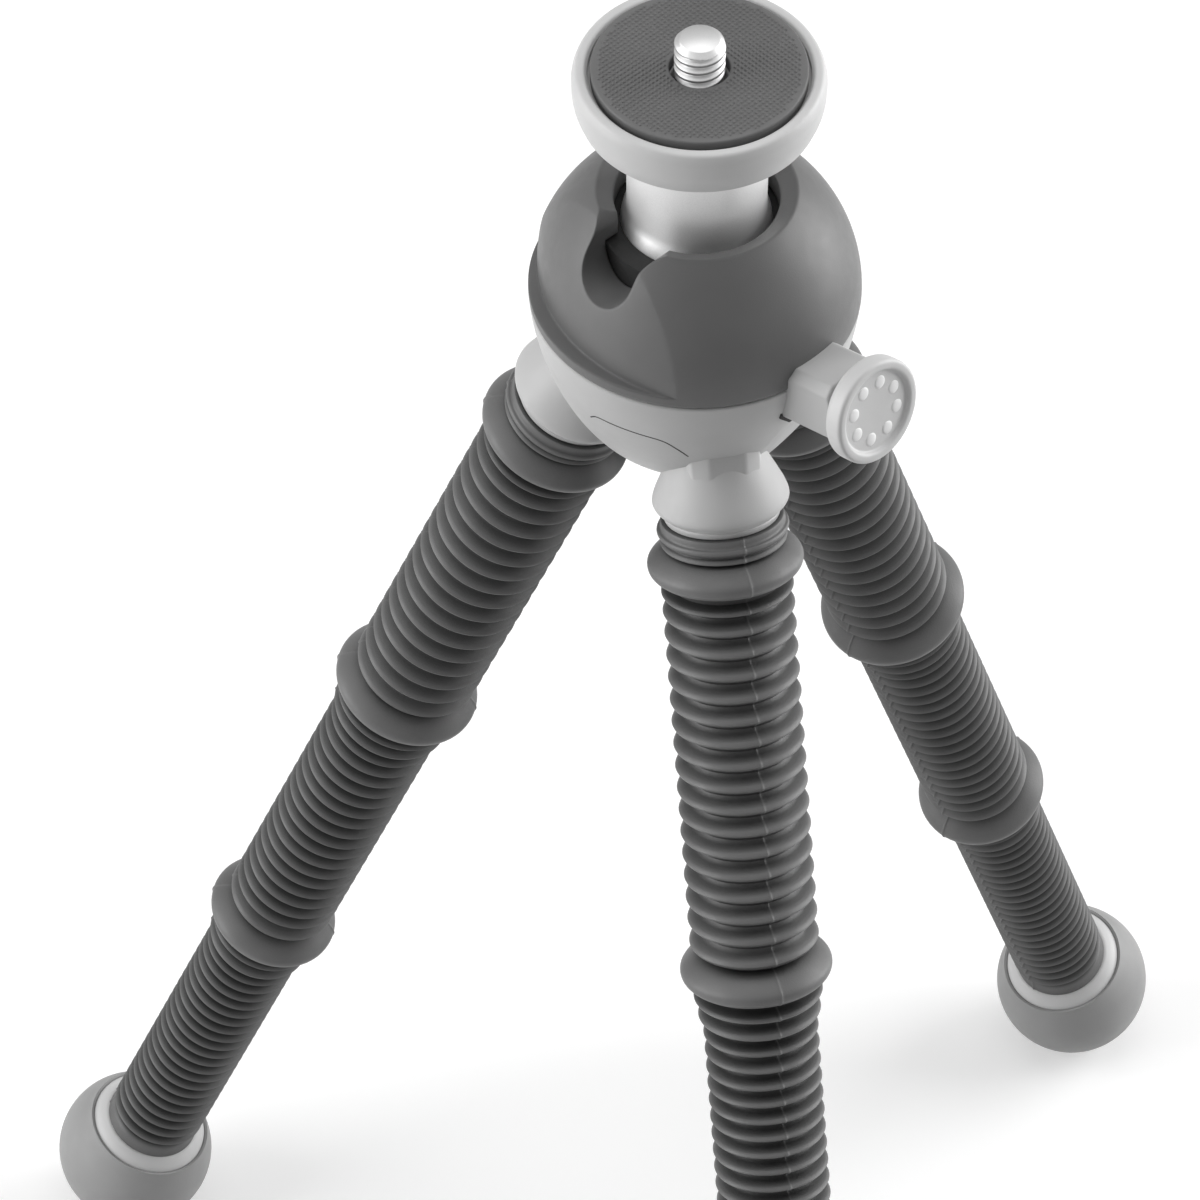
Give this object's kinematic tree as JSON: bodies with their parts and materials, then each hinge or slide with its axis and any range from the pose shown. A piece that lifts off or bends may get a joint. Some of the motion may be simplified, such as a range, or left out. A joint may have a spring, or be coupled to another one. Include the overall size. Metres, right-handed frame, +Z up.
{
  "type": "flexible leg tripod",
  "caption": "Small camera tripod with a lockable ball head and ribbed legs that bend at their bulge rings and stand on ball feet.",
  "frame": {"origin": "the point on the floor under the vertical axis, midway between the feet", "axes": "+Z up along the head's axis, -Y towards the front leg, +X towards the right"},
  "size_m": [0.1658, 0.1466, 0.2573],
  "materials": {
    "light_plastic": "satin light grey",
    "dark_plastic": "satin dark grey",
    "black_plastic": "matt black",
    "white_plastic": "white",
    "silver": "fine turned and anodised",
    "steel": "plated",
    "core_metal": "as cast",
    "pad_rubber": "fine cross texture",
    "sleeve_rubber": "matt ribbed",
    "foot_plastic": "satin light grey",
    "foot_rubber": "matt mid grey"
  },
  "bodies": {
    "hub": {"hub_bowl": "light_plastic", "dome": "dark_plastic", "ball_seat": "black_plastic", "front_collar": "light_plastic", "right_collar": "light_plastic", "left_collar": "light_plastic"},
    "pan": {"pressure_cup": "white_plastic"},
    "ball": {"ball_stem": "silver"},
    "plate": {"plate": "light_plastic", "plate_pad": "pad_rubber", "camera_screw": "steel"},
    "knob": {"lock_knob": "light_plastic", "lock_dots": "white_plastic", "lock_screw": "steel", "lock_pin": "steel"},
    "front_hip": {"front_hip_cuff": "sleeve_rubber"},
    "front_upper": {"front_upper_core": "core_metal", "front_upper_sleeve": "sleeve_rubber"},
    "front_knee": {"front_knee_cuff": "sleeve_rubber"},
    "front_mid": {"front_mid_core": "core_metal", "front_mid_sleeve": "sleeve_rubber"},
    "front_ankle": {"front_ankle_cuff": "sleeve_rubber"},
    "front_lower": {"front_lower_core": "core_metal", "front_lower_sleeve": "sleeve_rubber", "front_foot_cup": "foot_plastic", "front_foot_ball": "foot_rubber"},
    "right_hip": {"right_hip_cuff": "sleeve_rubber"},
    "right_upper": {"right_upper_core": "core_metal", "right_upper_sleeve": "sleeve_rubber"},
    "right_knee": {"right_knee_cuff": "sleeve_rubber"},
    "right_mid": {"right_mid_core": "core_metal", "right_mid_sleeve": "sleeve_rubber"},
    "right_ankle": {"right_ankle_cuff": "sleeve_rubber"},
    "right_lower": {"right_lower_core": "core_metal", "right_lower_sleeve": "sleeve_rubber", "right_foot_cup": "foot_plastic", "right_foot_ball": "foot_rubber"},
    "left_hip": {"left_hip_cuff": "sleeve_rubber"},
    "left_upper": {"left_upper_core": "core_metal", "left_upper_sleeve": "sleeve_rubber"},
    "left_knee": {"left_knee_cuff": "sleeve_rubber"},
    "left_mid": {"left_mid_core": "core_metal", "left_mid_sleeve": "sleeve_rubber"},
    "left_ankle": {"left_ankle_cuff": "sleeve_rubber"},
    "left_lower": {"left_lower_core": "core_metal", "left_lower_sleeve": "sleeve_rubber", "left_foot_cup": "foot_plastic", "left_foot_ball": "foot_rubber"}
  },
  "joints": [
    {"name": "head_pan", "type": "hinge", "parent": "hub", "child": "pan", "pos_m": [0, 0, 0.226], "axis": [0, 0, 1], "continuous": true},
    {"name": "head_tilt", "type": "hinge", "parent": "pan", "child": "ball", "pos_m": [0, 0, 0.226], "axis": [1, 0, 0], "range_deg": [-10, 10]},
    {"name": "plate_spin", "type": "hinge", "parent": "ball", "child": "plate", "pos_m": [0, 0, 0.2453], "axis": [0, 0, 1], "continuous": true},
    {"name": "knob_turn", "type": "hinge", "parent": "hub", "child": "knob", "pos_m": [0, 0, 0.2078], "axis": [0.5163, -0.8263, 0.225], "range_deg": [0, 180]},
    {"name": "front_hip_bend", "type": "hinge", "parent": "hub", "child": "front_hip", "pos_m": [0, -0.0186, 0.1826], "axis": [-1, 0, 0], "range_deg": [-18, 40], "deforming": ["front_hip_cuff"]},
    {"name": "front_hip_sway", "type": "hinge", "parent": "front_hip", "child": "front_upper", "pos_m": [0, -0.0186, 0.1826], "axis": [0, -0.9367, 0.3502], "range_deg": [-25, 25]},
    {"name": "front_knee_bend", "type": "hinge", "parent": "front_upper", "child": "front_knee", "pos_m": [0, -0.03954, 0.12659], "axis": [1, 0, 0], "range_deg": [-35, 35], "deforming": ["front_knee_cuff"]},
    {"name": "front_knee_sway", "type": "hinge", "parent": "front_knee", "child": "front_mid", "pos_m": [0, -0.03954, 0.12659], "axis": [0, 0.9367, -0.3502], "range_deg": [-25, 25]},
    {"name": "front_ankle_bend", "type": "hinge", "parent": "front_mid", "child": "front_ankle", "pos_m": [0, -0.06003, 0.07179], "axis": [-1, 0, 0], "range_deg": [-35, 35], "deforming": ["front_ankle_cuff"]},
    {"name": "front_ankle_sway", "type": "hinge", "parent": "front_ankle", "child": "front_lower", "pos_m": [0, -0.06003, 0.07179], "axis": [0, -0.9367, 0.3502], "range_deg": [-25, 25]},
    {"name": "right_hip_bend", "type": "hinge", "parent": "hub", "child": "right_hip", "pos_m": [0.01611, 0.0093, 0.1826], "axis": [0.5, -0.866, 0], "range_deg": [-18, 40], "deforming": ["right_hip_cuff"]},
    {"name": "right_hip_sway", "type": "hinge", "parent": "right_hip", "child": "right_upper", "pos_m": [0.01611, 0.0093, 0.1826], "axis": [0.8112, 0.4683, 0.3502], "range_deg": [-25, 25]},
    {"name": "right_knee_bend", "type": "hinge", "parent": "right_upper", "child": "right_knee", "pos_m": [0.03424, 0.01977, 0.12659], "axis": [-0.5, 0.866, 0], "range_deg": [-35, 35], "deforming": ["right_knee_cuff"]},
    {"name": "right_knee_sway", "type": "hinge", "parent": "right_knee", "child": "right_mid", "pos_m": [0.03424, 0.01977, 0.12659], "axis": [-0.8112, -0.4683, -0.3502], "range_deg": [-25, 25]},
    {"name": "right_ankle_bend", "type": "hinge", "parent": "right_mid", "child": "right_ankle", "pos_m": [0.05199, 0.03002, 0.07179], "axis": [0.5, -0.866, 0], "range_deg": [-35, 35], "deforming": ["right_ankle_cuff"]},
    {"name": "right_ankle_sway", "type": "hinge", "parent": "right_ankle", "child": "right_lower", "pos_m": [0.05199, 0.03002, 0.07179], "axis": [0.8112, 0.4683, 0.3502], "range_deg": [-25, 25]},
    {"name": "left_hip_bend", "type": "hinge", "parent": "hub", "child": "left_hip", "pos_m": [-0.01611, 0.0093, 0.1826], "axis": [0.5, 0.866, 0], "range_deg": [-18, 40], "deforming": ["left_hip_cuff"]},
    {"name": "left_hip_sway", "type": "hinge", "parent": "left_hip", "child": "left_upper", "pos_m": [-0.01611, 0.0093, 0.1826], "axis": [-0.8112, 0.4683, 0.3502], "range_deg": [-25, 25]},
    {"name": "left_knee_bend", "type": "hinge", "parent": "left_upper", "child": "left_knee", "pos_m": [-0.03424, 0.01977, 0.12659], "axis": [-0.5, -0.866, 0], "range_deg": [-35, 35], "deforming": ["left_knee_cuff"]},
    {"name": "left_knee_sway", "type": "hinge", "parent": "left_knee", "child": "left_mid", "pos_m": [-0.03424, 0.01977, 0.12659], "axis": [0.8112, -0.4683, -0.3502], "range_deg": [-25, 25]},
    {"name": "left_ankle_bend", "type": "hinge", "parent": "left_mid", "child": "left_ankle", "pos_m": [-0.05199, 0.03002, 0.07179], "axis": [0.5, 0.866, 0], "range_deg": [-35, 35], "deforming": ["left_ankle_cuff"]},
    {"name": "left_ankle_sway", "type": "hinge", "parent": "left_ankle", "child": "left_lower", "pos_m": [-0.05199, 0.03002, 0.07179], "axis": [-0.8112, 0.4683, 0.3502], "range_deg": [-25, 25]}
  ]
}
